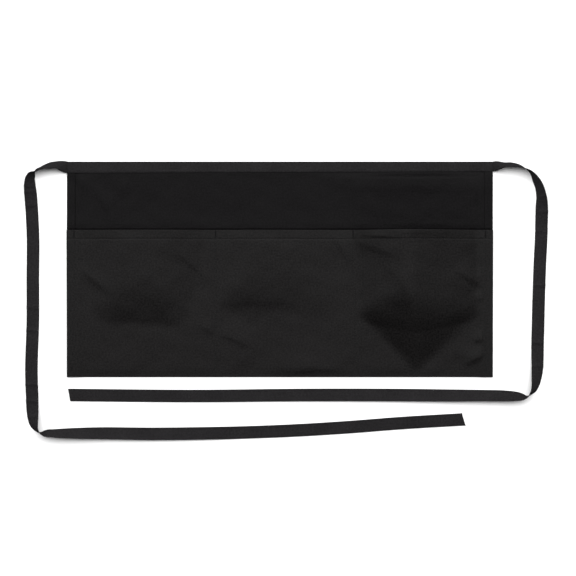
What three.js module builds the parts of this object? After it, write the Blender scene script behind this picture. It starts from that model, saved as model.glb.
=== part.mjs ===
// Waist apron with three pockets in front and two long ties, laid out on a flat surface.
// Millimetres, +Z up. +X runs along the waistband, +Y from the folded bottom edge to the waistband.
// The origin is on the surface, under the middle of the apron without its ties.

import * as THREE from 'three';

// Apron cloth
const APRON_WIDTH = 610;
const APRON_HEIGHT = 309;
const CLOTH = 1.1;
const LAYER_GAP = 0.3;
const SIDE_HEM = 10;
const HEM_EXTRA = 0.7;
const HEM_STEP = 0.8;

// Pockets: the cloth is folded up along the bottom edge and sewn down at the sides and two dividers
const POCKET_HEIGHT = 211;
const POCKET_OVERHANG = 0.4;
const LEFT_POCKET = 213;
const MIDDLE_POCKET = 197;
const DIVIDER_LEAN = 4.5;
const MOUTH_HEM = 12;
const FOLD_TUCK = 8;

// Waistband and ties: one tape, folded in half along its length
const TAPE = 1.0;
const TAPE_WIDTH = 18;
const BAND_LEFT = 16.6;
const BAND_RIGHT = 14.4;
const BAND_STEP_RUN = 9;
const TIE_THICKNESS = 2 * TAPE;
const LEFT_END_SKEW = 4.5;
const RIGHT_END_SKEW = 3.3;

// How far the cloth stands off: the fullness of each pocket, with a small step that adds to it on the
// right, the rounding where a slope leaves the back panel, and the height of a pressed-in crease
const LEFT_FULLNESS = 9.5;
const MIDDLE_FULLNESS = 8;
const RIGHT_STEP = 3.5;
const RIGHT_FULLNESS = 36;
const FOOT_ROUNDING = 2;
const CREASE_HEIGHT = 2.4;

// Folds fade out over these shares of the pocket's width at its seams, and of its height at the
// bottom fold, where the cloth is held down
const SEAM_FADE = 0.09;
const BOTTOM_FADE = 0.06;

// The folded tape of a tie in section: places across its width, and its thickness there as a share
const TIE_SECTION = [
  { across: -0.5, thickness: 0.6 },
  { across: -0.2, thickness: 1 },
  { across: 0.2, thickness: 1 },
  { across: 0.5, thickness: 0.6 },
];

// How finely the cloth is divided
const POCKET_COLUMNS = 13;
const POCKET_ROWS = 17;
const UPPER_COLUMNS = 30;
const UPPER_ROWS = 8;
const BAND_COLUMNS = 10;
const LOWER_ROWS = 3;
const FOLD_STEPS = 4;
const TIE_STEPS = 2;

// Places that follow from the sizes above
const HALF_WIDTH = APRON_WIDTH / 2;
const TOP = APRON_HEIGHT / 2;
const BOTTOM = -APRON_HEIGHT / 2;
const MOUTH = BOTTOM + POCKET_HEIGHT;
const TUCK_END = BOTTOM + FOLD_TUCK;

// Pocket cloth that is lifted from inside lies like a tent: flat slopes rise from lines on the back
// panel, as from pegs, up to the tent's full rise. Tents in one pocket add to each other.
const TENTS = [
  { pocket: 0, rise: LEFT_FULLNESS },
  { pocket: 1, rise: MIDDLE_FULLNESS },
  { pocket: 2, rise: RIGHT_STEP },
  { pocket: 2, rise: RIGHT_FULLNESS },
];

// The lines that the slopes rise from. Across is a share of the pocket's width from its left seam,
// up is a share of the pocket's height from the bottom fold, slope is rise over run, and rounding is
// the difference in height over which this slope blends with the ones before it.
const TENT_LINES = [
  { tent: 0, across: 0.03, up: 1, toAcross: 0.03, toUp: 0.3, slope: 0.14, rounding: 4 },
  { tent: 0, across: 0.16, up: 0.35, toAcross: 0.72, toUp: 0.33, slope: 0.2, rounding: 4 },
  { tent: 0, across: 0.95, up: 1, toAcross: 0.9, toUp: 0.3, slope: 0.12, rounding: 4 },
  { tent: 1, across: 0.02, up: 1, toAcross: 0.02, toUp: 0.44, slope: 0.16, rounding: 4 },
  { tent: 1, across: 0, up: 0.43, toAcross: 0.5, toUp: 0.42, slope: 0.22, rounding: 4 },
  { tent: 1, across: 0.3, up: 0.34, toAcross: 1, toUp: 0.22, slope: 0.1, rounding: 5 },
  { tent: 1, across: 0.97, up: 1, toAcross: 0.97, toUp: 0.3, slope: 0.07, rounding: 5 },
  { tent: 2, across: 0, up: 1, toAcross: 0, toUp: 0.46, slope: 0.12, rounding: 3 },
  { tent: 2, across: 0, up: 0.37, toAcross: 0.24, toUp: 0.335, slope: 0.3, rounding: 3 },
  { tent: 2, across: 0.73, up: 0.32, toAcross: 1, toUp: 0.39, slope: 0.3, rounding: 3 },
  { tent: 2, across: 1, up: 1, toAcross: 1, toUp: 0.4, slope: 0.12, rounding: 3 },
  { tent: 3, across: 0, up: 1, toAcross: 0, toUp: 0.3, slope: 0.33, rounding: 8 },
  { tent: 3, across: 1, up: 1, toAcross: 1, toUp: 0.3, slope: 0.25, rounding: 8 },
  { tent: 3, across: 0.125, up: 0.4, toAcross: 0.43, toUp: 0.076, slope: 0.37, rounding: 4 },
  { tent: 3, across: 0.43, up: 0.076, toAcross: 0.88, toUp: 0.35, slope: 0.285, rounding: 4 },
];

// Folds of the pocket cloth: a ridge of the cloth between two points. Across and up are shares as
// above, width is a share of the pocket's width, and rise is a share of the crease height.
const POCKET_FOLDS = [
  { pocket: 0, across: 0.02, up: 0.76, toAcross: 0.25, toUp: 0.57, width: 0.05, rise: 0.4 },
  { pocket: 0, across: 0.76, up: 0.84, toAcross: 0.95, toUp: 0.67, width: 0.05, rise: 0.4 },
  { pocket: 1, across: 0.06, up: 0.3, toAcross: 0.24, toUp: 0.22, width: 0.05, rise: 0.4 },
  { pocket: 1, across: 0.52, up: 0.03, toAcross: 0.8, toUp: 0.07, width: 0.07, rise: 0.6 },
  { pocket: 1, across: 0.86, up: 0.96, toAcross: 0.99, toUp: 0.78, width: 0.05, rise: 0.4 },
  { pocket: 2, across: 0.78, up: 0.67, toAcross: 0.98, toUp: 0.65, width: 0.06, rise: 0.5 },
  { pocket: 2, across: 0.86, up: 0.26, toAcross: 0.99, toUp: 0.23, width: 0.05, rise: 0.5 },
  { pocket: 2, across: 0.82, up: 0.15, toAcross: 0.99, toUp: 0.1, width: 0.05, rise: 0.5 },
  { pocket: 2, across: 0.06, up: 0.95, toAcross: 0.26, toUp: 0.87, width: 0.07, rise: 0.7 },
];

// Creases of the back panel above the pockets. Across is a share of the apron's width from its left
// side, up is a share of the height above the pocket mouth, width is a share of that height.
const UPPER_CREASES = [
  { across: 0.02, up: 0.95, toAcross: 0.045, toUp: 0.7, width: 0.09, rise: 0.4 },
  { across: 0.07, up: 0.75, toAcross: 0.108, toUp: 0.16, width: 0.09, rise: 0.4 },
  { across: 0.14, up: 0.9, toAcross: 0.128, toUp: 0.6, width: 0.08, rise: 0.3 },
  { across: 0.68, up: 0.85, toAcross: 0.72, toUp: 0.3, width: 0.12, rise: 0.3 },
  { across: 0.955, up: 0.95, toAcross: 0.97, toUp: 0.5, width: 0.1, rise: 0.4 },
  { across: 0.66, up: 0.9, toAcross: 0.96, toUp: 0.87, width: 0.25, rise: 1.1 },
];

// Route of each tie, point by point, down the side of the apron. Out is measured from the apron's
// side edge, down from its top edge. Roll turns the tape about its length: 0 and 180 lie flat on
// one face or the other, 90 stands on edge, which is how a tape turns a corner.
const LEFT_TIE_BESIDE = [
  { out: 13, down: 5, roll: 51 },
  { out: 23, down: 6, roll: 55 },
  { out: 32, down: 8, roll: 68 },
  { out: 38, down: 10.5, roll: 73 },
  { out: 45, down: 14, roll: 80 },
  { out: 49, down: 18.5, roll: 113 },
  { out: 51.5, down: 23.5, roll: 127 },
  { out: 52.5, down: 32.5, roll: 144 },
  { out: 52, down: 44, roll: 161 },
  { out: 50.5, down: 70, roll: 180 },
  { out: 49, down: 101, roll: 180 },
  { out: 49, down: 170, roll: 180 },
  { out: 49, down: 227, roll: 180 },
  { out: 51, down: 307, roll: 180 },
];
const RIGHT_TIE_BESIDE = [
  { out: 15, down: 5, roll: 63 },
  { out: 27, down: 5, roll: 66 },
  { out: 38.5, down: 7, roll: 74 },
  { out: 46, down: 10.3, roll: 83 },
  { out: 51.5, down: 13.5, roll: 90 },
  { out: 56, down: 18, roll: 98 },
  { out: 61, down: 26.5, roll: 114 },
  { out: 66, down: 37, roll: 123 },
  { out: 69, down: 51, roll: 136 },
  { out: 70, down: 66.5, roll: 160 },
  { out: 70, down: 91, roll: 180 },
  { out: 69.5, down: 112, roll: 180 },
  { out: 68, down: 141, roll: 180 },
  { out: 66, down: 198, roll: 180 },
  { out: 64.5, down: 256, roll: 180 },
  { out: 62.5, down: 307, roll: 207 },
];

// Route of each tie round the lower corner and back along under the apron. Along is measured from
// the same side edge towards the middle of the apron, below from the folded bottom edge.
const LEFT_TIE_BELOW = [
  { along: -50, below: 26, roll: 180 },
  { along: -48.5, below: 54, roll: 200 },
  { along: -46, below: 68, roll: 224 },
  { along: -42.5, below: 74.5, roll: 245 },
  { along: -39, below: 78, roll: 258 },
  { along: -31.5, below: 79.5, roll: 292 },
  { along: -17.5, below: 80, roll: 305 },
  { along: 4, below: 80, roll: 317 },
  { along: 47, below: 80, roll: 334 },
  { along: 119, below: 81, roll: 345 },
  { along: 190, below: 80.5, roll: 352 },
  { along: 262, below: 79, roll: 360 },
  { along: 334, below: 76, roll: 360 },
  { along: 406, below: 71.5, roll: 360 },
  { along: 477, below: 66, roll: 360 },
  { along: 568.5, below: 60.5, roll: 360 },
];
const RIGHT_TIE_BELOW = [
  { along: -60.5, below: 10, roll: 224 },
  { along: -57.5, below: 18, roll: 238 },
  { along: -53.5, below: 23, roll: 253 },
  { along: -50, below: 26.5, roll: 264 },
  { along: -43, below: 27.5, roll: 294 },
  { along: -31.5, below: 27, roll: 314 },
  { along: -18, below: 26.5, roll: 323 },
  { along: 18, below: 26, roll: 328 },
  { along: 61, below: 26, roll: 338 },
  { along: 133, below: 25.5, roll: 348 },
  { along: 276, below: 25.5, roll: 355 },
  { along: 420, below: 27, roll: 360 },
  { along: 563, below: 26, roll: 360 },
  { along: 607, below: 25.5, roll: 360 },
];

const CLOTH_COLOUR = 0x222223;
const TAPE_COLOUR = 0x2a2a2b;

// Helpers for smooth steps and blends
const mix = (from, to, share) => from + (to - from) * share;
const clamp = (value) => Math.min(1, Math.max(0, value));
const smooth = (value) => clamp(value) ** 2 * (3 - 2 * clamp(value));

// A closed wall of cloth from two matching grids of points: grid[i][j] is the column i, row j.
function wall(faceGrid, innerGrid) {
  const columns = faceGrid.length;
  const rows = faceGrid[0].length;
  const position = [];
  for (const grid of [faceGrid, innerGrid]) {
    for (const column of grid) {
      for (const point of column) position.push(...point);
    }
  }
  const face = (i, j) => i * rows + j;
  const inner = (i, j) => columns * rows + i * rows + j;
  const index = [];
  const quad = (a, b, c, d) => index.push(a, b, c, a, c, d);
  for (let i = 0; i + 1 < columns; i += 1) {
    for (let j = 0; j + 1 < rows; j += 1) {
      quad(face(i, j), face(i + 1, j), face(i + 1, j + 1), face(i, j + 1));
      quad(inner(i, j), inner(i, j + 1), inner(i + 1, j + 1), inner(i + 1, j));
    }
    quad(face(i, 0), inner(i, 0), inner(i + 1, 0), face(i + 1, 0));
    quad(face(i, rows - 1), face(i + 1, rows - 1), inner(i + 1, rows - 1), inner(i, rows - 1));
  }
  for (let j = 0; j + 1 < rows; j += 1) {
    quad(face(0, j), face(0, j + 1), inner(0, j + 1), inner(0, j));
    quad(face(columns - 1, j), inner(columns - 1, j), inner(columns - 1, j + 1), face(columns - 1, j + 1));
  }
  const geometry = new THREE.BufferGeometry();
  geometry.setAttribute('position', new THREE.Float32BufferAttribute(position, 3));
  geometry.setIndex(index);
  return geometry;
}

// Height of a table's folds at one place, all in the same unit as the widths
function foldHeight(folds, x, y) {
  let height = 0;
  for (const fold of folds) {
    const [dx, dy] = [fold.toX - fold.x, fold.toY - fold.y];
    const share = clamp(((x - fold.x) * dx + (y - fold.y) * dy) / (dx * dx + dy * dy));
    const distance = Math.hypot(x - fold.x - share * dx, y - fold.y - share * dy);
    height += fold.rise * CREASE_HEIGHT * Math.exp(-((distance / fold.width) ** 2));
  }
  return height;
}

// 1 in the folded hem along each side, falling to 0 over the step beside it
function sideHemShare(x) {
  return clamp((SIDE_HEM + HEM_STEP - (HALF_WIDTH - Math.abs(x))) / HEM_STEP);
}

function bandHeight(x) {
  return mix(BAND_LEFT, BAND_RIGHT, clamp((x + HALF_WIDTH) / APRON_WIDTH));
}

const upperCreases = UPPER_CREASES.map((crease) => ({
  x: -HALF_WIDTH + crease.across * APRON_WIDTH,
  y: mix(MOUTH, TOP - BAND_LEFT, crease.up),
  toX: -HALF_WIDTH + crease.toAcross * APRON_WIDTH,
  toY: mix(MOUTH, TOP - BAND_LEFT, crease.toUp),
  width: crease.width * (TOP - MOUTH),
  rise: crease.rise,
}));

// Underside of the back panel: flat on the surface, over the waistband's back layer at the top, and
// lifted a little along the creases above the pockets
function backUnder(x, y) {
  const bandEdge = TOP - bandHeight(x);
  const ontoBand = smooth(1 - (bandEdge - y) / BAND_STEP_RUN);
  const clearOfSeams = smooth((y - MOUTH) / BAND_STEP_RUN) * (1 - ontoBand);
  return ontoBand * (TAPE + LAYER_GAP) + clearOfSeams * foldHeight(upperCreases, x, y);
}

function backThickness(x) {
  return CLOTH + HEM_EXTRA * sideHemShare(x);
}

function backTop(x, y) {
  return backUnder(x, y) + backThickness(x);
}

// The waistband's fold: the room inside it for the back panel, and where its round end starts
function bandSlot(x) {
  return backThickness(x) + 2 * LAYER_GAP;
}

function bandFoldStart(x) {
  return TOP - TAPE - bandSlot(x) / 2;
}

// Columns across the apron that fall on the hems' edges
function columnPlaces(count) {
  const places = [-HALF_WIDTH, -HALF_WIDTH + SIDE_HEM];
  const first = -HALF_WIDTH + SIDE_HEM + HEM_STEP;
  for (let k = 0; k <= count; k += 1) places.push(mix(first, -first, k / count));
  places.push(HALF_WIDTH - SIDE_HEM, HALF_WIDTH);
  return places;
}

// The body of the apron, behind the pockets and up into the fold of the waistband
function backPanel() {
  const low = TUCK_END + LAYER_GAP;
  const columns = columnPlaces(UPPER_COLUMNS);
  const rowsAt = (x) => {
    const step = TOP - bandHeight(x) - BAND_STEP_RUN;
    const rows = [];
    for (let k = 0; k < LOWER_ROWS; k += 1) rows.push(mix(low, MOUTH, k / LOWER_ROWS));
    for (let k = 0; k < UPPER_ROWS; k += 1) rows.push(mix(MOUTH, step, k / UPPER_ROWS));
    rows.push(step, step + BAND_STEP_RUN / 2, step + BAND_STEP_RUN, bandFoldStart(x));
    return rows;
  };
  const top = columns.map((x) => rowsAt(x).map((y) => [x, y, backTop(x, y)]));
  const under = columns.map((x) => rowsAt(x).map((y) => [x, y, backUnder(x, y)]));
  return wall(top, under);
}

// Left side, dividers and right side of the pockets at a height y
function seamPlaces(y) {
  const lean = DIVIDER_LEAN * clamp((MOUTH - y) / POCKET_HEIGHT);
  const firstDivider = -HALF_WIDTH + LEFT_POCKET;
  return [-HALF_WIDTH + SIDE_HEM, firstDivider, firstDivider + MIDDLE_POCKET + lean, HALF_WIDTH - SIDE_HEM];
}

function pocketPoint(pocket, across, up) {
  const y = mix(BOTTOM, MOUTH, up);
  const seams = seamPlaces(y);
  return [mix(seams[pocket], seams[pocket + 1], across), y];
}

const pocketWidths = [0, 1, 2].map((pocket) => pocketPoint(pocket, 1, 1)[0] - pocketPoint(pocket, 0, 1)[0]);

const pocketFolds = POCKET_FOLDS.map((fold) => {
  const [x, y] = pocketPoint(fold.pocket, fold.across, fold.up);
  const [toX, toY] = pocketPoint(fold.pocket, fold.toAcross, fold.toUp);
  const width = fold.width * pocketWidths[fold.pocket];
  return { pocket: fold.pocket, x, y, toX, toY, width, rise: fold.rise };
});

// The lesser of two heights, with the edge between them rounded
function softLeast(a, b, rounding) {
  return Math.min(a, b) - Math.max(rounding - Math.abs(a - b), 0) ** 2 / (4 * rounding);
}

// Each tent with its slopes as a point on the line they rise from and the direction they rise in
const tents = TENTS.map(({ pocket, rise }, number) => {
  const [crownX, crownY] = pocketPoint(pocket, 0.5, 0.9);
  const slopes = TENT_LINES.filter((line) => line.tent === number).map((line) => {
    const [x, y] = pocketPoint(pocket, line.across, line.up);
    const [toX, toY] = pocketPoint(pocket, line.toAcross, line.toUp);
    const length = Math.hypot(toX - x, toY - y);
    const [normalX, normalY] = [(y - toY) / length, (toX - x) / length];
    const way = Math.sign(normalX * (crownX - x) + normalY * (crownY - y));
    const rise = way * line.slope;
    return { x, y, riseX: rise * normalX, riseY: rise * normalY, rounding: line.rounding };
  });
  return { pocket, rise, slopes };
});

function tentHeight(tent, x, y) {
  const height = tent.slopes.reduce((least, slope) => {
    return softLeast(least, slope.riseX * (x - slope.x) + slope.riseY * (y - slope.y), slope.rounding);
  }, tent.rise);
  return -softLeast(-height, 0, FOOT_ROUNDING);
}

// How far the pocket cloth stands off the back panel
function pocketRise(x, y) {
  const seams = seamPlaces(y);
  const pocket = x < seams[1] ? 0 : x < seams[2] ? 1 : 2;
  const across = (x - seams[pocket]) / (seams[pocket + 1] - seams[pocket]);
  const up = (y - BOTTOM) / POCKET_HEIGHT;
  const held = smooth(across / SEAM_FADE) * smooth((1 - across) / SEAM_FADE);
  let height = held * foldHeight(pocketFolds.filter((fold) => fold.pocket === pocket), x, y);
  for (const tent of tents) {
    if (tent.pocket === pocket) height += tentHeight(tent, x, y);
  }
  return Math.max(0, smooth(up / BOTTOM_FADE) * height);
}

// The pocket cloth: hem at the mouth, front wall, the fold at the bottom edge and the tuck under it
function pocketPanel() {
  const frontRows = [MOUTH, MOUTH - MOUTH_HEM, MOUTH - MOUTH_HEM - HEM_STEP];
  const firstRow = MOUTH - MOUTH_HEM - HEM_STEP;
  const lastRow = BOTTOM + FOLD_TUCK / 2;
  for (let k = 1; k <= POCKET_ROWS; k += 1) frontRows.push(mix(firstRow, lastRow, k / POCKET_ROWS));
  const shares = [];
  for (let k = 1; k < POCKET_COLUMNS; k += 1) shares.push(k / POCKET_COLUMNS);
  const columnsAt = (y) => {
    const seams = seamPlaces(y);
    const places = [-HALF_WIDTH - POCKET_OVERHANG, seams[0], seams[0] + HEM_STEP];
    for (let pocket = 0; pocket < 3; pocket += 1) {
      for (const share of shares) places.push(mix(seams[pocket], seams[pocket + 1], share));
      if (pocket < 2) places.push(seams[pocket + 1]);
    }
    places.push(seams[3] - HEM_STEP, seams[3], HALF_WIDTH + POCKET_OVERHANG);
    return places;
  };
  const frontThickness = (x, y) => {
    const mouthHem = clamp((y - MOUTH + MOUTH_HEM + HEM_STEP) / HEM_STEP);
    return CLOTH + HEM_EXTRA * Math.max(sideHemShare(x), mouthHem);
  };
  const columnCount = columnsAt(MOUTH).length;
  const outer = [];
  const inner = [];
  for (let i = 0; i < columnCount; i += 1) {
    outer.push([]);
    inner.push([]);
    for (const y of frontRows) {
      const x = columnsAt(y)[i];
      const under = backThickness(x) + LAYER_GAP + pocketRise(x, y);
      inner[i].push([x, y, under]);
      outer[i].push([x, y, under + frontThickness(x, y)]);
    }
    const x = columnsAt(BOTTOM)[i];
    const stack = 2 * backThickness(x) + LAYER_GAP;
    for (let k = 0; k <= FOLD_STEPS; k += 1) {
      const angle = Math.PI * (0.5 - k / FOLD_STEPS);
      const centre = BOTTOM + stack / 2;
      const ray = [-Math.cos(angle), Math.sin(angle)];
      outer[i].push([x, centre + ray[0] * stack / 2, stack / 2 + ray[1] * stack / 2]);
      inner[i].push([x, centre + ray[0] * LAYER_GAP / 2, stack / 2 + ray[1] * LAYER_GAP / 2]);
    }
    outer[i].push([x, TUCK_END, 0]);
    inner[i].push([x, TUCK_END, backThickness(x)]);
  }
  return wall(inner, outer);
}

// The waistband: tape folded over the top edge of the back panel, front layer, fold, back layer
function waistband() {
  const columns = columnPlaces(BAND_COLUMNS);
  const outer = [];
  const inner = [];
  for (const x of columns) {
    const edge = TOP - bandHeight(x);
    const slot = bandSlot(x);
    const middle = TAPE + slot / 2;
    const stack = slot + 2 * TAPE;
    const centre = bandFoldStart(x);
    const outerColumn = [[x, edge, stack], [x, mix(edge, centre, 0.5), stack]];
    const innerColumn = [[x, edge, stack - TAPE], [x, mix(edge, centre, 0.5), stack - TAPE]];
    for (let k = 0; k <= FOLD_STEPS; k += 1) {
      const angle = Math.PI * (0.5 - k / FOLD_STEPS);
      const [forward, up] = [Math.cos(angle), Math.sin(angle)];
      outerColumn.push([x, centre + forward * (TOP - centre), middle + up * stack / 2]);
      innerColumn.push([x, centre + forward * (TOP - TAPE - centre), middle + up * slot / 2]);
    }
    outerColumn.push([x, edge, 0]);
    innerColumn.push([x, edge, TAPE]);
    outer.push(outerColumn);
    inner.push(innerColumn);
  }
  return wall(outer, inner);
}

// One tie: a flat tape swept along its route. Side is -1 for the left tie and 1 for the right one.
function tie(side, bandEnd, beside, below, endSkew) {
  const route = [{ x: side * (HALF_WIDTH + LAYER_GAP), y: TOP - bandEnd / 2, roll: 0 }];
  for (const point of beside) {
    route.push({ x: side * (HALF_WIDTH + point.out), y: TOP - point.down, roll: point.roll });
  }
  for (const point of below) {
    route.push({ x: side * (HALF_WIDTH - point.along), y: BOTTOM - point.below, roll: point.roll });
  }
  const curve = new THREE.CatmullRomCurve3(route.map(({ x, y, roll }) => new THREE.Vector3(x, y, roll)));
  const steps = (route.length - 1) * TIE_STEPS;
  const bandMiddle = TAPE + LAYER_GAP + backThickness(HALF_WIDTH) / 2;
  const faces = [];
  const backs = [];
  for (let k = 0; k <= steps; k += 1) {
    const point = curve.getPoint(k / steps);
    const heading = k === 0 ? new THREE.Vector3(side, 0, 0) : curve.getTangent(k / steps);
    const tangent = heading.setZ(0).normalize();
    const roll = THREE.MathUtils.degToRad(point.z);
    const width = mix(bandEnd, TAPE_WIDTH, clamp(k / TIE_STEPS));
    const onSurface = Math.abs(Math.sin(roll)) * width / 2 + Math.abs(Math.cos(roll)) * TIE_THICKNESS / 2;
    const centre = new THREE.Vector3(point.x, point.y, k === 0 ? bandMiddle : onSurface);
    const inward = new THREE.Vector3(side * tangent.y, -side * tangent.x, 0);
    const across = inward.clone().multiplyScalar(Math.cos(roll)).setZ(Math.sin(roll));
    const through = inward.clone().multiplyScalar(-Math.sin(roll)).setZ(Math.cos(roll));
    const skew = k === steps ? endSkew : 0;
    const column = (way) => TIE_SECTION.map((place) => centre.clone()
      .addScaledVector(across, place.across * width)
      .addScaledVector(through, way * place.thickness * TIE_THICKNESS / 2)
      .addScaledVector(tangent, side * place.across * skew)
      .toArray());
    faces.push(column(1));
    backs.push(column(-1));
  }
  return side > 0 ? wall(backs, faces) : wall(faces, backs);
}

function piece(name, geometry, colour, roughness) {
  const material = new THREE.MeshStandardMaterial({ color: colour, roughness, metalness: 0 });
  const mesh = new THREE.Mesh(geometry, material);
  mesh.name = name;
  return mesh;
}

const tieLeft = tie(-1, BAND_LEFT, LEFT_TIE_BESIDE, LEFT_TIE_BELOW, LEFT_END_SKEW);
const tieRight = tie(1, BAND_RIGHT, RIGHT_TIE_BESIDE, RIGHT_TIE_BELOW, RIGHT_END_SKEW);

const apron = new THREE.Group();
apron.add(
  piece('back_panel', backPanel(), CLOTH_COLOUR, 0.85),
  piece('pocket_panel', pocketPanel(), CLOTH_COLOUR, 0.85),
  piece('waistband', waistband(), TAPE_COLOUR, 0.75),
  piece('tie_left', tieLeft, TAPE_COLOUR, 0.75),
  piece('tie_right', tieRight, TAPE_COLOUR, 0.75),
);

export default apron;
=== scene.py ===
# %% [markdown]
# # A waist apron, laid out flat
#
# The object is a short black apron with three pockets across its front. It is made of two materials
# only: a twill cloth for the body and the pockets, and a woven tape that is folded over the top edge
# as the waistband and runs on past both ends as the ties. Everything that makes it look real is
# small: the double layers at the hems, the rows of stitches, the slack of the pocket cloth and the
# way the flat ties stand on edge where they turn a corner. Each of these is real geometry here.

# %% Load the fixed frame
import math

import bpy
import numpy as np
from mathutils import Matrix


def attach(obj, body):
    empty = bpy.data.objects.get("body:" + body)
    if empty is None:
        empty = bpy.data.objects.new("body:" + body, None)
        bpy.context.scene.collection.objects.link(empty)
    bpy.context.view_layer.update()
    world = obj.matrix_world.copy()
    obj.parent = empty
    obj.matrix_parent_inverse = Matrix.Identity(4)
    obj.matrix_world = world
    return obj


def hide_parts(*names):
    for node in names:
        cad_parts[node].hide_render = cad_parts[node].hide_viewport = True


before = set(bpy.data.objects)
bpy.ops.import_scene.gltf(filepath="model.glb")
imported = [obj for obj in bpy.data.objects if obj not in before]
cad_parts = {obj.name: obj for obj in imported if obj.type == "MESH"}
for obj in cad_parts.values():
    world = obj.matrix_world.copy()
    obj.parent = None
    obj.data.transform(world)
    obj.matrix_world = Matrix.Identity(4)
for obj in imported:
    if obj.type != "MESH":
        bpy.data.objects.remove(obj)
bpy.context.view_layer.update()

MM = 0.001
print("frame nodes:", sorted(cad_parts))

# %% [markdown]
# ## Camera
#
# The photograph looks straight down. A long lens from far above keeps the apron's edges parallel, as
# there. The distance follows from the lens: the view has to be as wide as the photograph, which
# shows a little more than the ties' outline.

# %% Camera straight above
VIEW_WIDTH = 826 * MM
VIEW_CENTRE = (11.7 * MM, -26.7 * MM)
LENS_MM = 100
SENSOR_MM = 36

camera_data = bpy.data.cameras.new("camera")
camera_data.lens = LENS_MM
camera_data.sensor_width = SENSOR_MM
camera = bpy.data.objects.new("camera", camera_data)
camera.location = (*VIEW_CENTRE, VIEW_WIDTH * LENS_MM / SENSOR_MM)
bpy.context.scene.collection.objects.link(camera)
bpy.context.scene.camera = camera
print("camera height in metres:", round(camera.location.z, 3))

# %% [markdown]
# ## Sizes
#
# A pattern cutter works from a short list of sizes, and so does this file. The outer sizes are those
# of the frame. The cloth is thinner here than the frame's walls, because real twill is about half a
# millimetre thick: a ply is the room that one layer takes in a stack.

# %% Sizes of the real apron
APRON_WIDTH = 610 * MM
APRON_HEIGHT = 309 * MM
POCKET_HEIGHT = 211 * MM
LEFT_POCKET = 213 * MM
MIDDLE_POCKET = 197 * MM
DIVIDER_LEAN = 4.5 * MM
SIDE_HEM = 11.5 * MM
MOUTH_HEM = 13.5 * MM
FOLD_TUCK = 8 * MM
CLOTH = 0.4 * MM
PLY = 0.45 * MM

TAPE = 0.5 * MM
TAPE_WIDTH = 18 * MM
BAND_LEFT = 16.6 * MM
BAND_RIGHT = 14.4 * MM

# Rows of stitches, measured from the edge beside them, and the valleys that they pull.
SIDE_ROW = 10.3 * MM
MOUTH_ROW = 12.9 * MM
BAND_ROW = 2.0 * MM
STITCH_DEPTH = 0.12 * MM
MOUTH_DEPTH = 0.22 * MM
STITCH_REACH = 1.1 * MM

HALF_WIDTH = APRON_WIDTH / 2
TOP = APRON_HEIGHT / 2
BOTTOM = -APRON_HEIGHT / 2
MOUTH = BOTTOM + POCKET_HEIGHT
TUCK_END = BOTTOM + FOLD_TUCK

# %% [markdown]
# ## Meshes from grids
#
# Cloth is easiest to think of as a grid of points that is bent, folded and dented, with the thread
# running along its lines. Blender's sculpting or its cloth tools could shape it too, but a grid that
# is worked out from sizes puts every hem and fold just where the real apron has it. Two small
# helpers come first: a soft step from 0 to 1, and a blend between two values.

# %% Soft steps and blends
def smooth(value):
    value = np.clip(value, 0, 1)
    return value * value * (3 - 2 * value)


def mix(low, high, share):
    return low + (high - low) * share


print("a soft step at a quarter of its way:", round(float(smooth(0.25)), 3))

# %% [markdown]
# Points and faces go straight into the mesh as arrays, which is quick even for a hundred thousand
# faces. Building them one by one with operators would give the same mesh and take minutes.

# %% An object from points, and the faces of a grid
def new_object(name, points, faces, uv=None):
    """An object from lists of points and faces. uv holds one (u, v) for each point, in metres."""
    mesh = bpy.data.meshes.new(name)
    mesh.from_pydata(np.asarray(points).tolist(), [], faces)
    if uv is not None:
        corner = np.empty(len(mesh.loops), dtype=np.int32)
        mesh.loops.foreach_get("vertex_index", corner)
        layer = mesh.uv_layers.new(name="cloth_metres")
        layer.data.foreach_set("uv", np.asarray(uv, dtype=np.float32)[corner].ravel())
    mesh.polygons.foreach_set("use_smooth", [True] * len(mesh.polygons))
    mesh.update()
    made = bpy.data.objects.new(name, mesh)
    bpy.context.scene.collection.objects.link(made)
    return made


def grid_faces(columns, rows, closed_rows=False):
    """Corner numbers of a grid's quads. With closed_rows the last row joins the first."""
    across = np.arange(columns - 1)
    down = np.arange(rows if closed_rows else rows - 1)
    i, j = np.meshgrid(across, down, indexing="ij")
    j_next = (j + 1) % rows
    quads = np.stack([i * rows + j, (i + 1) * rows + j, (i + 1) * rows + j_next, i * rows + j_next], -1)
    return quads.reshape(-1, 4)

# %% [markdown]
# A sheet stores in its UV map how far along and across the cloth each point lies, in metres. A weave
# drawn with that map keeps its real size and follows every fold. The sheet itself is a single
# surface, and a Solidify modifier gives it the thickness of the cloth.

# %% A sheet of cloth from a grid
def arc_lengths(points):
    """Distance along each line of points, counted over the grid's second axis."""
    steps = np.linalg.norm(np.diff(points, axis=1), axis=2)
    return np.concatenate([np.zeros((len(points), 1)), np.cumsum(steps, axis=1)], axis=1)


def cloth_object(name, points, thickness):
    """A sheet from a grid of points [column][row], thickened evenly to both sides."""
    columns, rows = points.shape[:2]
    faces = grid_faces(columns, rows)
    along = arc_lengths(points)
    across = arc_lengths(points.transpose(1, 0, 2)).T
    uv = np.stack([across, along], -1).reshape(-1, 2)
    made = new_object(name, points.reshape(-1, 3), faces.tolist(), uv)
    solidify = made.modifiers.new("thickness", "SOLIDIFY")
    solidify.thickness = thickness
    solidify.offset = 0
    solidify.use_even_offset = False
    print(f"{name}: {columns} by {rows} points, {len(faces)} faces before thickening")
    return made

# %% [markdown]
# ## The ties
#
# Each tie is one flat tape about a metre long. Seen from above it narrows to a thin line at each
# corner: a tape can't bend in its own plane, so it stands on edge there, bends round, and comes down
# on its other face. The route below is the frame's, point by point, with the roll of the tape at
# each point. A curve object could carry the width, but not the folded section, so the section is
# swept along the route here.

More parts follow.
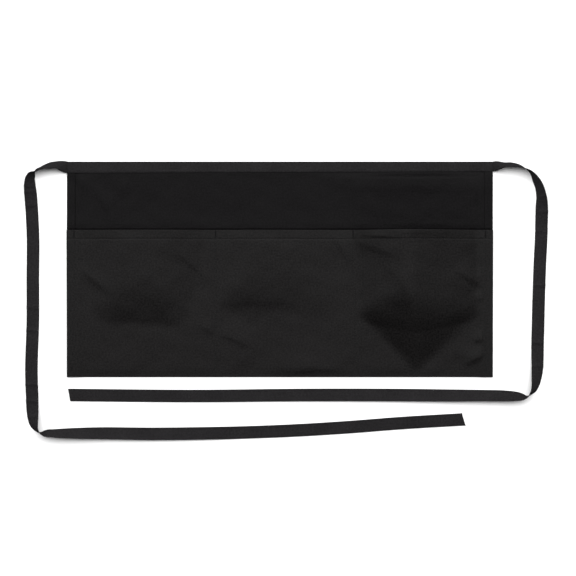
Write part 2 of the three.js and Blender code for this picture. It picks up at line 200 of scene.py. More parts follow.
# %% Route of each tie, in metres
# Each row is: out from the apron's side edge, down from its top edge, roll in degrees.
LEFT_TIE_BESIDE = [
    (0.013, 0.005, 51), (0.023, 0.006, 55), (0.032, 0.008, 68), (0.038, 0.0105, 73),
    (0.045, 0.014, 80), (0.049, 0.0185, 113), (0.0515, 0.0235, 127), (0.0525, 0.0325, 144),
    (0.052, 0.044, 161), (0.0505, 0.070, 180), (0.049, 0.101, 180), (0.049, 0.170, 180),
    (0.049, 0.227, 180), (0.051, 0.307, 180),
]
RIGHT_TIE_BESIDE = [
    (0.015, 0.005, 63), (0.027, 0.005, 66), (0.0385, 0.007, 74), (0.046, 0.0103, 83),
    (0.0515, 0.0135, 90), (0.056, 0.018, 98), (0.061, 0.0265, 114), (0.066, 0.037, 123),
    (0.069, 0.051, 136), (0.070, 0.0665, 160), (0.070, 0.091, 180), (0.0695, 0.112, 180),
    (0.068, 0.141, 180), (0.066, 0.198, 180), (0.0645, 0.256, 180), (0.0625, 0.307, 207),
]
# Each row is: along from the same side edge, below the bottom edge, roll in degrees.
LEFT_TIE_BELOW = [
    (-0.050, 0.026, 180), (-0.0485, 0.054, 200), (-0.046, 0.068, 224), (-0.0425, 0.0745, 245),
    (-0.039, 0.078, 258), (-0.0315, 0.0795, 292), (-0.0175, 0.080, 305), (0.004, 0.080, 317),
    (0.047, 0.080, 334), (0.119, 0.081, 345), (0.190, 0.0805, 352), (0.262, 0.079, 360),
    (0.334, 0.076, 360), (0.406, 0.0715, 360), (0.477, 0.066, 360), (0.5685, 0.0605, 360),
]
RIGHT_TIE_BELOW = [
    (-0.0605, 0.010, 224), (-0.0575, 0.018, 238), (-0.0535, 0.023, 253), (-0.050, 0.0265, 264),
    (-0.043, 0.0275, 294), (-0.0315, 0.027, 314), (-0.018, 0.0265, 323), (0.018, 0.026, 328),
    (0.061, 0.026, 338), (0.133, 0.0255, 348), (0.276, 0.0255, 355), (0.420, 0.027, 360),
    (0.563, 0.026, 360), (0.607, 0.0255, 360),
]
LEFT_END_SKEW = 4.5 * MM
RIGHT_END_SKEW = 3.3 * MM

# Small pinches across the ties, where the tape was once folded. Each row is: down from the apron's
# top edge, lift in millimetres.
LEFT_PINCHES = [
    (0.035, 1.0), (0.0435, 1.2), (0.062, 1.3), (0.2085, 1.3), (0.2415, 1.5), (0.319, 1.6),
    (0.343, 1.4), (0.365, 1.6),
]
RIGHT_PINCHES = [(0.051, 1.1), (0.072, 1.1), (0.0995, 1.0), (0.177, 1.1), (0.259, 1.5), (0.293, 1.3)]
PINCH_LENGTH = 2.6 * MM

# %% [markdown]
# The route's points are few. A cubic curve runs through them all, with its slope at each point worked out
# from the neighbours, and gives a station every millimetre and a half. A Bezier curve could do the same,
# but this way the roll is smoothed in the same pass.

# %% One smooth line through the route's points
TIE_STEP = 1.5 * MM


def distances(line):
    """How far along a line of points each of them lies."""
    return np.concatenate([[0], np.cumsum(np.linalg.norm(np.diff(line, axis=0), axis=1))])


def smooth_line(points, step):
    """Points a step apart on a smooth curve through the given ones, one column for each value."""
    points = np.asarray(points, float)
    chord = distances(points[:, :2])
    slope = np.gradient(points, chord, axis=0)
    places = np.linspace(0, chord[-1], int(chord[-1] / step) + 1)
    k = np.clip(np.searchsorted(chord, places, side="right") - 1, 0, len(chord) - 2)
    width = chord[k + 1] - chord[k]
    t = ((places - chord[k]) / width)[:, None]
    width = width[:, None]
    return (
        (2 * t ** 3 - 3 * t ** 2 + 1) * points[k] + (t ** 3 - 2 * t ** 2 + t) * width * slope[k]
        + (3 * t ** 2 - 2 * t ** 3) * points[k + 1] + (t ** 3 - t ** 2) * width * slope[k + 1]
    )


def tie_line(side, band_end, beside, below):
    """x, y and roll in degrees along a tie. side is -1 for the left tie and 1 for the right one."""
    route = [(side * HALF_WIDTH, TOP - band_end / 2, 0)]
    route += [(side * (HALF_WIDTH + out), TOP - down, roll) for out, down, roll in beside]
    route += [(side * (HALF_WIDTH - along), BOTTOM - under, roll) for along, under, roll in below]
    return smooth_line(route, TIE_STEP)

# %% [markdown]
# The tape is folded in half along its length, so in section it is a long thin U: two layers, joined
# by a fold on one edge and open on the other, where a row of stitches holds them together. The
# outline of the U is drawn once and swept along the line.

# %% Section of the folded tape
LAYER_ROOM = 0.08 * MM
SECTION_STEPS = 9
FOLD_POINTS = 5
SURFACE_CLEARANCE = 0.26 * MM


def folded_section(width, opening):
    """Outline of the folded tape as (across, through), with across from the fold to the open edge."""
    half = opening / 2 + TAPE
    fold, free = -width / 2, width / 2
    flat = np.linspace(fold + half, free, SECTION_STEPS)
    outline = [(x, half) for x in flat[::-1]]
    angles = np.linspace(90, 270, FOLD_POINTS + 2)[1:-1]
    for angle in np.radians(angles):
        outline.append((fold + half + half * math.cos(angle), half * math.sin(angle)))
    outline += [(x, -half) for x in flat]
    inner = opening / 2
    outline += [(x, -inner) for x in flat[::-1]]
    outline += [(x, inner) for x in flat]
    return np.array(outline)


def sweep(name, rings):
    """A closed mesh from a row of closed outlines [station][point], with both ends filled."""
    stations, count = rings.shape[:2]
    faces = grid_faces(stations, count, closed_rows=True).tolist()
    faces.append(list(range(count)))
    faces.append(list(range(stations * count - 1, (stations - 1) * count - 1, -1)))
    along = np.repeat(arc_lengths(rings.transpose(1, 0, 2)).mean(0)[:, None], count, 1)
    uv = np.stack([arc_lengths(rings), along], -1).reshape(-1, 2)
    return new_object(name, rings.reshape(-1, 3), faces, uv)

# %% [markdown]
# At each station the tape needs two directions: across its width and through its layers. They come
# from the way the line runs, turned by the roll. The tape rests on the surface with its lowest edge,
# so its middle is highest where it stands on edge. Near the waistband the two layers spread, to
# meet the open section that holds the cloth, and at the far end the last outline slants.

# %% Directions of the tape along its line
def tie_directions(side, line):
    """Unit directions across the tape and through it at each station."""
    heading = np.gradient(line[:, :2], axis=0)
    heading[0] = (side, 0)
    heading = np.pad(heading / np.linalg.norm(heading, axis=1)[:, None], ((0, 0), (0, 1)))
    inward = np.stack([side * heading[:, 1], -side * heading[:, 0], 0 * heading[:, 0]], -1)
    roll = np.radians(line[:, 2])[:, None]
    up = np.array([0, 0, 1])
    across = inward * np.cos(roll) + up * np.sin(roll)
    through = -inward * np.sin(roll) + up * np.cos(roll)
    return across, through

# %% Sweep both ties
HEM_LIFT = 2 * PLY
BAND_OPENING = HEM_LIFT + 2 * PLY - TAPE
SPREAD_LENGTH = 16 * MM
PINCHES_BESIDE = 35 * MM


def make_tie(name, side, band_end, beside, below, end_skew, pinches):
    """One tie, and its centre, across, through and width at each station, with its length."""
    line = tie_line(side, band_end, beside, below)
    across, through = tie_directions(side, line)
    roll = np.radians(line[:, 2])
    travelled = np.arange(len(line)) * TIE_STEP
    near_band = 1 - smooth(travelled / SPREAD_LENGTH)
    width = mix(TAPE_WIDTH, band_end, near_band)
    opening = mix(LAYER_ROOM, BAND_OPENING, near_band)
    half_stack = opening / 2 + TAPE
    height = np.abs(np.sin(roll)) * width / 2 + np.abs(np.cos(roll)) * half_stack
    beside_apron = np.abs(line[:, 0]) > HALF_WIDTH + PINCHES_BESIDE
    for down, lift in pinches:
        distance = line[:, 1] - TOP + down
        height = height + beside_apron * lift * MM * np.exp(-(distance / PINCH_LENGTH) ** 2)
    centre = np.column_stack([line[:, :2], height + SURFACE_CLEARANCE])
    skew = np.zeros(len(line))
    skew[-1] = end_skew / TAPE_WIDTH
    rings = []
    for k in range(len(line)):
        outline = folded_section(width[k], opening[k])
        slide = -outline[:, :1] * skew[k] * np.array([1, 0, 0])
        rings.append(centre[k] + outline[:, :1] * across[k] + outline[:, 1:] * through[k] + slide)
    made = sweep(name, np.array(rings))
    length = np.linalg.norm(np.diff(centre, axis=0), axis=1).sum()
    print(f"{name}: {len(line)} stations, {length:.3f} m long")
    return made, {
        "centre": centre, "across": across, "through": through, "width": width, "length": length}


tie_left, left_frame = make_tie(
    "tie_left_tape", -1, BAND_LEFT, LEFT_TIE_BESIDE, LEFT_TIE_BELOW, LEFT_END_SKEW, LEFT_PINCHES)
tie_right, right_frame = make_tie(
    "tie_right_tape", 1, BAND_RIGHT, RIGHT_TIE_BESIDE, RIGHT_TIE_BELOW, RIGHT_END_SKEW, RIGHT_PINCHES)

# %% [markdown]
# ## The shape of the lying cloth
#
# Cloth that lies on a table is never quite flat. The pockets have been used, so their cloth stands off in
# a soft swelling, held down at the seams and along the bottom fold. The forms below are close to the
# frame's own, in the same shares of each pocket, so the dressed apron fills the same space. A simulation
# would find folds by itself, but not the ones that this apron has, so they are listed one by one and
# blended with smooth steps.

# %% Fullness of the pockets
# Each tent is: its pocket, how far it lifts the cloth, and how softly it starts at its foot.
TENTS = [
    (0, 10 * MM, 0.8 * MM), (1, 8.3 * MM, 0.8 * MM), (2, 3 * MM, 0.5 * MM), (2, 36 * MM, 2.5 * MM),
]

# Lifted cloth rises from lines on the surface in flat slopes, as a tent does from its pegs.
# Each row is: tent, across and up at one end, across and up at the other end, slope, rounding in mm
# between this slope and the ones above it.
TENT_LINES = [
    (0, 0.03, 1, 0.12, 0.3, 0.16, 4),
    (0, 0.16, 0.35, 0.72, 0.33, 0.18, 4),
    (0, 0.95, 1, 0.8, 0.3, 0.18, 4),
    (1, 0.02, 1, 0.02, 0.44, 0.16, 4),
    (1, 0, 0.44, 0.54, 0.4, 0.11, 3),
    (1, 0.3, 0.25, 1, 0.185, 0.12, 4),
    (1, 0.97, 1, 0.97, 0.3, 0.07, 5),
    (2, 0, 1, 0, 0.46, 0.12, 3),
    (2, 0, 0.37, 0.24, 0.33, 0.25, 3),
    (2, 0.73, 0.34, 1, 0.4, 0.28, 3),
    (2, 1, 1, 1, 0.4, 0.12, 3),
    (3, 0, 1, 0, 0.3, 0.4, 8),
    (3, 1, 1, 1, 0.3, 0.27, 8),
    (3, 0.08, 0.36, 0.43, 0.045, 0.4, 3),
    (3, 0.5, 0.03, 0.88, 0.34, 0.34, 4),
]
print("tents:", len(TENTS), "with", len(TENT_LINES), "lines")

# %% [markdown]
# Small folds lie over these slopes, where the cloth was pulled or pressed. They are few, so each is a
# row of a table: its two ends as shares of the pocket or of the panel above it, its width as a share
# too, and its rise as a share of one common height.

# %% Folds of the pockets and of the panel above them
CREASE_HEIGHT = 2.4 * MM

# Each row is: pocket, across and up at one end, across and up at the other end, width, rise.
POCKET_FOLDS = [
    (0, 0.0, 0.78, 0.28, 0.54, 0.04, 0.4),
    (0, 0.7, 0.88, 1.0, 0.63, 0.04, 0.35),
    (0, 0.86, 0.37, 1.05, 0.28, 0.04, 0.3),
    (1, 0.0, 0.33, 0.3, 0.19, 0.05, 0.4),
    (1, 0.4, 0.02, 0.92, 0.08, 0.06, 0.6),
    (1, 0.82, 1.02, 1.02, 0.74, 0.05, 0.4),
    (1, -0.1, 0.55, 0.62, 0.55, 0.15, 0.65),
    (2, 0.75, 0.75, 1.05, 0.59, 0.05, 0.7),
    (2, 0.9, 0.55, 1.05, 0.51, 0.03, 0.4),
    (2, 0.88, 0.25, 1.06, 0.27, 0.04, 0.6),
    (2, 0.8, 0.07, 1.06, 0.2, 0.05, 0.7),
    (2, -0.04, 0.98, 0.46, 0.95, 0.045, 0.5),
    (2, -0.08, 0.99, 0.42, 0.81, 0.12, 1.1),
    (2, 0.2, 0.9, 0.48, 0.5, 0.12, 0.5),
    (2, 0.1, 1.02, 0.95, 1.0, 0.12, 0.5),
]

# Each row is: across and up at one end, across and up at the other end, width, rise.
UPPER_CREASES = [
    (0.015, 1.05, 0.05, 0.6, 0.07, 0.35),
    (0.06, 0.85, 0.115, 0.05, 0.07, 0.35),
    (0.143, 1.0, 0.125, 0.5, 0.06, 0.3),
    (0.68, 0.95, 0.73, 0.2, 0.1, 0.3),
    (0.955, 1.0, 0.97, 0.4, 0.08, 0.4),
    (0.56, 0.9, 1.06, 0.86, 0.4, 1.1),
    (0.62, 0.5, 1.08, 0.44, 0.5, 1.1),
]
print("folds:", len(POCKET_FOLDS), "in the pockets and", len(UPPER_CREASES), "above them")

# %% [markdown]
# A fold is a ridge along a line, steep on the side that faces the bottom edge and gentle on the other.
# The slight unevenness of the whole cloth is a sum of long waves in chance directions, with a fixed
# seed, so it comes out the same each time. A Displace modifier with a noise texture could do that
# part as well, but the stitches have to lie on the same surface, so its height is a plain function.

# %% Ridges and slight waves
SHADE_SIDE = (0.45, -0.9)
STEEP, GENTLE = 0.55, 1.7


def ridge(x, y, start, end, width, rise):
    """A fold from start to end that dies away at both ends: steep on one side, gentle on the other."""
    dx, dy = end[0] - start[0], end[1] - start[1]
    length = math.hypot(dx, dy)
    along = 2 * ((x - start[0]) * dx + (y - start[1]) * dy) / length ** 2 - 1
    aside = ((x - start[0]) * dy - (y - start[1]) * dx) / length
    aside = aside * np.sign(dy * SHADE_SIDE[0] - dx * SHADE_SIDE[1])
    spread = width * mix(GENTLE, STEEP, smooth(0.5 + aside / width))
    return rise * np.clip(1 - along ** 2, 0, 1) ** 2 * np.exp(-(aside / spread) ** 2)


WAVES = np.random.default_rng(5).uniform(size=(14, 3))
WAVE_LENGTHS = (22, 75)
WAVE_SHARES = (0.5, 1)
WAVE_PEAK = 5


def soft_waves(x, y):
    """The slight unevenness of cloth that was folded and laid out again, between about -1 and 1."""
    total = 0
    for direction, length, phase in WAVES:
        turned = x * math.cos(math.pi * direction) + y * math.sin(math.pi * direction)
        waves = turned / (mix(*WAVE_LENGTHS, length) * MM) + phase
        total = total + mix(*WAVE_SHARES, length) * np.sin(2 * math.pi * waves)
    return total / WAVE_PEAK

# %% [markdown]
# The pockets lie between four seams: one at each side and two dividers, of which the second leans a
# little. A place in a pocket is given in shares of its width and height, so the tables above still
# hold if a size is changed.

# %% Places in the pockets
def seam_places(y):
    """Left seam, both dividers and right seam of the pockets at the height y."""
    lean = DIVIDER_LEAN * np.clip((MOUTH - y) / POCKET_HEIGHT, 0, 1)
    first = -HALF_WIDTH + LEFT_POCKET
    flat = np.zeros_like(y)
    inner = HALF_WIDTH - SIDE_HEM
    return [flat - inner, flat + first, first + MIDDLE_POCKET + lean, flat + inner]


def pocket_point(pocket, across, up):
    y = np.array(mix(BOTTOM, MOUTH, up))
    seams = seam_places(y)
    return float(mix(seams[pocket], seams[pocket + 1], across)), float(y)


print("seams at the mouth, in mm:", [round(float(seam) / MM, 1) for seam in seam_places(np.array(MOUTH))])

# %% [markdown]
# Each line of a tent starts a flat slope. At every place the lowest slope counts, as for cloth that
# is pegged down along all these lines at once, and where two slopes meet their edge is rounded.

# %% Rise of the pocket cloth
UNEVENNESS = 0.35 * MM
SEAM_FADE = 0.04
BOTTOM_FADE = 0.06
CROWN = (0.5, 0.9)


def soft_least(a, b, rounding):
    """The lesser of two heights, with the edge between them rounded."""
    return np.minimum(a, b) - np.maximum(rounding - np.abs(a - b), 0) ** 2 / (4 * rounding)


def tent(number, x, y):
    """Cloth that rises from the tent's lines up to its full lift."""
    pocket, lift, foot = TENTS[number]
    height = np.full_like(x, lift)
    crown_x, crown_y = pocket_point(pocket, *CROWN)
    for owner, across_a, up_a, across_b, up_b, slope, rounding in TENT_LINES:
        if owner == number:
            start, end = pocket_point(pocket, across_a, up_a), pocket_point(pocket, across_b, up_b)
            normal = np.array([start[1] - end[1], end[0] - start[0]]) / math.dist(start, end)
            normal *= np.sign(normal @ [crown_x - start[0], crown_y - start[1]])
            distance = (x - start[0]) * normal[0] + (y - start[1]) * normal[1]
            height = soft_least(height, slope * distance, rounding * MM)
    height = np.maximum(0, height)
    return np.where(height < 2 * foot, height ** 2 / (4 * foot), height - foot)


def pocket_rise(x, y):
    """How far the pocket cloth stands off the back panel."""
    seams = seam_places(y)
    total = np.zeros_like(x)
    up = np.clip((y - BOTTOM) / POCKET_HEIGHT, 0, 1)
    uneven = UNEVENNESS * (1 + soft_waves(x, y))
    for pocket in range(3):
        across = (x - seams[pocket]) / (seams[pocket + 1] - seams[pocket])
        inside = (across >= 0) & (across <= 1)
        pocket_width = pocket_point(pocket, 1, 1)[0] - pocket_point(pocket, 0, 1)[0]
        folds = uneven
        for owner, across_a, up_a, across_b, up_b, width, rise in POCKET_FOLDS:
            if owner == pocket:
                start, end = pocket_point(pocket, across_a, up_a), pocket_point(pocket, across_b, up_b)
                folds = folds + ridge(x, y, start, end, width * pocket_width, rise * CREASE_HEIGHT)
        held = smooth(across / SEAM_FADE) * smooth((1 - across) / SEAM_FADE)
        lifted = sum(tent(k, x, y) for k in range(len(TENTS)) if TENTS[k][0] == pocket)
        total += np.where(inside, np.maximum(0, smooth(up / BOTTOM_FADE) * (lifted + held * folds)), 0)
    return total


crown_x, crown_y = np.array([pocket_point(pocket, *CROWN) for pocket in range(3)]).T
print("rise at the crown of each pocket, in mm:", np.round(pocket_rise(crown_x, crown_y) / MM, 1))

# %% [markdown]
# A row of stitches pulls a small valley into the cloth. It is only a fraction of a millimetre deep,
# but on black cloth the eye finds a seam by that valley more than by its thread.

# %% Valleys along the seams
def groove(distance, depth=STITCH_DEPTH):
    return -depth * np.exp(-(distance / STITCH_REACH) ** 2)


def pocket_grooves(x, y):
    """Valleys along the side seams, the dividers and the mouth hem."""
    seams = seam_places(y)
    ends = (seams[0] - SIDE_HEM + SIDE_ROW, seams[3] + SIDE_HEM - SIDE_ROW)
    total = groove(y - MOUTH + MOUTH_ROW, MOUTH_DEPTH)
    for seam in (ends[0], seams[1], seams[2], ends[1]):
        total = np.minimum(total, groove(x - seam))
    return total

# %% [markdown]
# Above the pockets the back panel lies nearly flat. It climbs onto the tape where the waistband
# holds it, and just above the mouth it swells in a low lip before it dips under the pocket's thick
# hem. The lip faces away from the light, which draws the dark line along the mouth. At both sides
# the folded hems lift whatever lies over them.

# %% Height of the back panel
HEM_EASE = 14 * MM
BAND_STEP_RUN = 9 * MM
LIP_RISE = 0.75 * MM
LIP_RUN = 2.5 * MM
LIP_EASE = 30 * MM


def band_height(x):
    return mix(BAND_LEFT, BAND_RIGHT, np.clip((x + HALF_WIDTH) / APRON_WIDTH, 0, 1))


def upper_point(across, up):
    return mix(-HALF_WIDTH, HALF_WIDTH, across), mix(MOUTH, TOP - BAND_LEFT, up)


def back_height(x, y):
    """Middle of the back panel's main ply, which rises at creases, over the tape and at the mouth."""
    onto_band = smooth(1 - (TOP - band_height(x) - y) / BAND_STEP_RUN)
    creases = 0
    for across_a, up_a, across_b, up_b, width, rise in UPPER_CREASES:
        start, end = upper_point(across_a, up_a), upper_point(across_b, up_b)
        creases = creases + ridge(x, y, start, end, width * (TOP - MOUTH), rise * CREASE_HEIGHT)
    free = smooth((y - MOUTH) / BAND_STEP_RUN) * (1 - onto_band)
    creases = creases + UNEVENNESS * (1 + soft_waves(x, y + TOP))
    lip = LIP_RISE * smooth((y - MOUTH) / LIP_RUN) * (1 - smooth((y - MOUTH) / LIP_EASE))
    return SURFACE_CLEARANCE + CLOTH / 2 + onto_band * PLY + free * creases + lip


def hem_lift(x, ease=HEM_EASE):
    """Extra height over the folded side hems, easing off towards the middle."""
    return HEM_LIFT * smooth((SIDE_HEM + ease - (HALF_WIDTH - np.abs(x))) / ease)


band_ends = band_height(np.array([-HALF_WIDTH, HALF_WIDTH]))
print("waistband's width at both ends, in mm:", np.round(band_ends / MM, 1))

# %% [markdown]
# ## Back panel
#
# The back panel is one layer of twill with a narrow double hem down each side, folded twice so that
# no raw edge shows. The hem is modelled as the cloth really runs: out to the edge, round it, back
# over itself, and tucked under. That gives the soft rounded edge and the small step beside it that a
# flat sheet with painted lines never has.

# %% Arcs and even places
FINE = 2.2 * MM
COARSE = 9 * MM


def turn(centre, radius, start, end, steps=5):
    """Points on an arc, as offsets (along, up): angles in degrees, 0 along +X, 90 up."""
    angles = np.radians(np.linspace(start, end, steps))
    return [(centre[0] + radius * math.cos(a), centre[1] + radius * math.sin(a)) for a in angles]


def spaced(low, high, step):
    return np.linspace(low, high, max(2, int(round(abs(high - low) / step)) + 1))


def spaced_to_seams(places, step, seam_step, reach=3 * MM):
    """Even places between the given ones, closer together beside each seam."""
    found = []
    for low, high in zip(places[:-1], places[1:]):
        found += [
            spaced(low, low + reach, seam_step)[:-1],
            spaced(low + reach, high - reach, step)[:-1],
            spaced(high - reach, high, seam_step)[:-1],
        ]
    return np.concatenate(found + [[places[-1]]])

# %% Back panel with folded side hems
def side_hem_over():
    """(x, up) from the tucked end of a left hem that is folded over onto the panel, to its edge."""
    inner, outer = PLY / 2, HEM_LIFT / 2
    edge = -HALF_WIDTH
    tucked = [(x, PLY) for x in spaced(edge + SIDE_HEM / 2, edge + SIDE_HEM - inner, FINE)]
    tucked += turn((edge + SIDE_HEM - inner, PLY + inner), inner, start=-60, end=60, steps=3)
    over = [(x, HEM_LIFT) for x in spaced(edge + SIDE_HEM - inner, edge + outer, FINE)]
    return tucked + over + turn((edge + outer, outer), outer, start=115, end=270, steps=6)


left_hem = side_hem_over()
middle = [(x, 0) for x in spaced(-HALF_WIDTH + HEM_LIFT, HALF_WIDTH - HEM_LIFT, FINE)]
back_columns = np.array(left_hem + middle + [(-x, up) for x, up in left_hem[::-1]])
fold_start = TOP - TAPE - PLY
back_rows = np.concatenate([
    spaced(TUCK_END, MOUTH - FINE, COARSE)[:-1],
    spaced(MOUTH - FINE, MOUTH + 2 * FINE, FINE / 4)[:-1],
    spaced(MOUTH + 2 * FINE, fold_start, FINE),
])
back_x, back_y = np.meshgrid(back_columns[:, 0], back_rows, indexing="ij")
back_z = back_height(back_x, back_y) + back_columns[:, 1][:, None]
back_panel = cloth_object("back_panel_cloth", np.stack([back_x, back_y, back_z], -1), CLOTH)

# %% [markdown]
# ## Pocket panel
#
# The pockets are the same cloth, folded up along the bottom edge. Its mouth has a wider hem, turned
# to the inside, and its side hems lie on those of the back panel. It could be a flat plane with a
# bump map for the seams, but from the side the pockets would then have no mouth and no thickness.
# So the grid follows the cloth as it was sewn. Its columns lie side by side across the apron, from
# the left hem's tucked edge to the right one's, and closer together beside each seam.

# %% Columns of the pocket panel
def side_hem_under():
    """(x, up, main) from the inner edge of a left hem that is folded under, to the main ply."""
    edge, radius = -HALF_WIDTH, HEM_LIFT / 2
    under = [(x, 0, 0) for x in spaced(edge + SIDE_HEM, edge + radius, FINE)]
    arc = turn((edge + radius, radius), radius, start=245, end=90, steps=6)
    around = [(x, up, up / HEM_LIFT) for x, up in arc]
    over = [(x, HEM_LIFT, 1) for x in spaced(edge + 2 * radius, edge + SIDE_ROW - FINE / 3, FINE / 2)]
    return under + around + over


left_side = side_hem_under()
seam_columns = [float(seam) for seam in seam_places(np.array(MOUTH))]
seam_columns[0], seam_columns[3] = -HALF_WIDTH + SIDE_ROW, HALF_WIDTH - SIDE_ROW
middle = [(x, float(hem_lift(x)), 1) for x in spaced_to_seams(seam_columns, FINE, FINE / 4)]
pocket_columns = np.array(left_side + middle + [(-x, up, main) for x, up, main in left_side[::-1]])
print("columns of the pocket panel:", len(pocket_columns))

# %% [markdown]
# Its rows run along the cloth: from the mouth hem's hidden edge up to the mouth, round it, and down
# the front to the bottom fold. Each row also says how far it is from the hem's inner ply, 0, to the
# front, 1.

# %% Rows of the pocket panel
SEAM_REACH = 2.5 * MM

mouth_radius = HEM_LIFT / 2
mouth_rows = [(y, 0) for y in spaced(MOUTH - MOUTH_HEM, MOUTH - mouth_radius, FINE)]
mouth_rows += [(MOUTH - mouth_radius + out, up / HEM_LIFT)
               for out, up in turn((0, mouth_radius), mouth_radius, start=-60, end=60, steps=5)]
seam_top, seam_low = MOUTH - MOUTH_ROW + SEAM_REACH, MOUTH - MOUTH_ROW - 2 * SEAM_REACH
mouth_rows += [(y, 1) for y in spaced(MOUTH - mouth_radius, seam_top, FINE / 4)[:-1]]
mouth_rows += [(y, 1) for y in spaced(seam_top, seam_low, FINE / 4)[:-1]]
mouth_rows += [(y, 1) for y in spaced(seam_low, BOTTOM + HEM_LIFT + PLY, FINE)]
mouth_rows = np.array(mouth_rows)
print("rows of the pocket panel's front:", len(mouth_rows))

# %% [markdown]
# The height of the front is a stack: the back panel and its hems below, the pocket's own hems, and
# on top of them the swelling with its folds and the valleys of the seams.

# %% Front of the pocket panel
POCKET_OVERHANG = 0.4 * MM
MOUTH_EASE = 45 * MM


def over_mouth_hem(y):
    """1 where the mouth hem lies beneath the front, easing off below it."""
    return smooth((y - MOUTH + MOUTH_HEM + MOUTH_EASE) / MOUTH_EASE)


x, lift, main = (pocket_columns[:, k][:, None] for k in range(3))
y, hem_main = mouth_rows[:, 0][None, :], mouth_rows[:, 1][None, :]
overhang = 1 + POCKET_OVERHANG / HALF_WIDTH * smooth((y - BOTTOM) / POCKET_HEIGHT)
divider = seam_columns[2]
follows = np.clip(np.minimum((x - seam_columns[1]) / (divider - seam_columns[1]),
                             (seam_columns[3] - x) / (seam_columns[3] - divider)), 0, 1)
lean = DIVIDER_LEAN * (MOUTH - y) / POCKET_HEIGHT
grid_x, grid_y = np.broadcast_arrays(x * overhang + follows * lean, y)
rest = SURFACE_CLEARANCE + CLOTH / 2 + hem_lift(x) + PLY
own = lift + main * HEM_LIFT * hem_main * over_mouth_hem(y) + (1 - main) * PLY * (1 - hem_main)
front_z = rest + own + pocket_rise(grid_x, grid_y) + main * hem_main * pocket_grooves(grid_x, grid_y)
front = np.stack([grid_x, grid_y, front_z], -1)
print("highest point of the pockets, in mm:", round(float(front_z.max()) / MM, 1))

# %% [markdown]
# Along the bottom edge the front turns under in half a circle, and a short tuck runs back underneath
# to where the back panel's own grid starts, so the two read as one cloth. The circle is widest at the
# sides, where the hems make the stack thicker.

# %% Bottom fold and the whole pocket panel
FOLD_ANGLES = np.radians([90, 60, 30, 0, -30, -60, -90])

top_z = front_z[:, -1]
low_z = SURFACE_CLEARANCE + CLOTH / 2 + (HEM_LIFT * (1 - main))[:, 0]
radius = (top_z - low_z) / 2
fold_y = BOTTOM + CLOTH / 2 + radius.max() - np.cos(FOLD_ANGLES)[None, :] * radius[:, None]
fold_y -= (radius.max() - radius)[:, None]
fold_z = (top_z + low_z)[:, None] / 2 + np.sin(FOLD_ANGLES)[None, :] * radius[:, None]
fold_x = np.broadcast_to(x, fold_y.shape)
tuck_y = np.broadcast_to(np.array([[BOTTOM + FOLD_TUCK / 2, TUCK_END]]), (len(x), 2))
tuck = np.stack([np.broadcast_to(x, (len(x), 2)), tuck_y, np.repeat(low_z[:, None], 2, 1)], -1)
pocket_points = np.concatenate([front, np.stack([fold_x, fold_y, fold_z], -1), tuck], 1)
pocket_panel = cloth_object("pocket_panel_cloth", pocket_points, CLOTH)

# %% [markdown]
# ## Waistband
#
# The tape that makes the ties also binds the top edge: it is folded over the cloth and sewn through
# all layers. It has the same U section as the ties, only more open, because the cloth lies inside.

# %% Waistband swept along the top edge
band_places = spaced(-HALF_WIDTH, HALF_WIDTH, FINE)
band_rings = []
for place in band_places:
    height = float(band_height(place))
    opening = float(hem_lift(place)) + 2 * PLY - TAPE
    outline = folded_section(height, opening)
    ring = np.empty((len(outline), 3))
    ring[:, 0] = place
    ring[:, 1] = TOP - height / 2 - outline[:, 0]
    ring[:, 2] = SURFACE_CLEARANCE + TAPE + opening / 2 + outline[:, 1]
    band_rings.append(ring)
waistband = sweep("waistband_tape", np.array(band_rings))
print("waistband stations:", len(band_places))

# %% [markdown]
# ## Stitches
#
# A row of stitches is what makes a seam a seam. Each stitch is its own little cushion of thread here:
# a six-sided capsule that dips into the cloth at both ends. They are one template, copied along a
# line with plain array arithmetic and joined into one mesh for each seam group, which is quicker than
# thousands of objects. The thread of a real seam of this kind is about 0.3 mm thick, and it is drawn
# a little thicker, so that the rows still show from above.

# %% One stitch
STITCH_PITCH = 3.0 * MM
STITCH_LENGTH = 2.3 * MM
THREAD = 0.42 * MM
STITCH_SIDES = 6


def stitch_template(length):
    """Points (along, beside, up) and faces of one stitch, from rings that are narrower at its ends."""
    places = np.array([-0.5, -0.4, -0.15, 0.15, 0.4, 0.5]) * length
    radii = np.array([0.35, 0.8, 1, 1, 0.8, 0.35]) * THREAD / 2
    heights = np.array([-0.8, -0.25, 0.2, 0.2, -0.25, -0.8]) * THREAD / 2
    angles = np.linspace(0, 2 * math.pi, STITCH_SIDES, endpoint=False)
    rings = [np.column_stack([np.full(STITCH_SIDES, p), r * np.cos(angles), h + r * np.sin(angles)])
             for p, r, h in zip(places, radii, heights)]
    faces = grid_faces(len(places), STITCH_SIDES, closed_rows=True)[:, ::-1].tolist()
    faces.append(list(range(STITCH_SIDES))[::-1])
    faces.append(list(range((len(places) - 1) * STITCH_SIDES, len(places) * STITCH_SIDES)))
    return np.concatenate(rings), faces


print("faces of one stitch:", len(stitch_template(STITCH_LENGTH)[1]))

# %% [markdown]
# Every stitch needs its own directions: along the seam, beside it and up from the cloth. They come
# from the seam's line and from the normal of the surface that it lies on.

# %% Copies along a line, joined into one mesh
def place_stitches(centres, directions, normals, length):
    """Points and faces of one stitch at each centre, along its direction, standing on its normal."""
    template, faces = stitch_template(length)
    along = directions / np.linalg.norm(directions, axis=1)[:, None]
    beside = np.cross(normals, along)
    beside /= np.linalg.norm(beside, axis=1)[:, None]
    up = np.cross(along, beside)
    points = (
        centres[:, None] + template[None, :, :1] * along[:, None]
        + template[None, :, 1:2] * beside[:, None] + template[None, :, 2:] * up[:, None]
    )
    all_faces = []
    for k in range(len(centres)):
        all_faces += [[corner + k * len(template) for corner in face] for face in faces]
    return points.reshape(-1, 3), all_faces


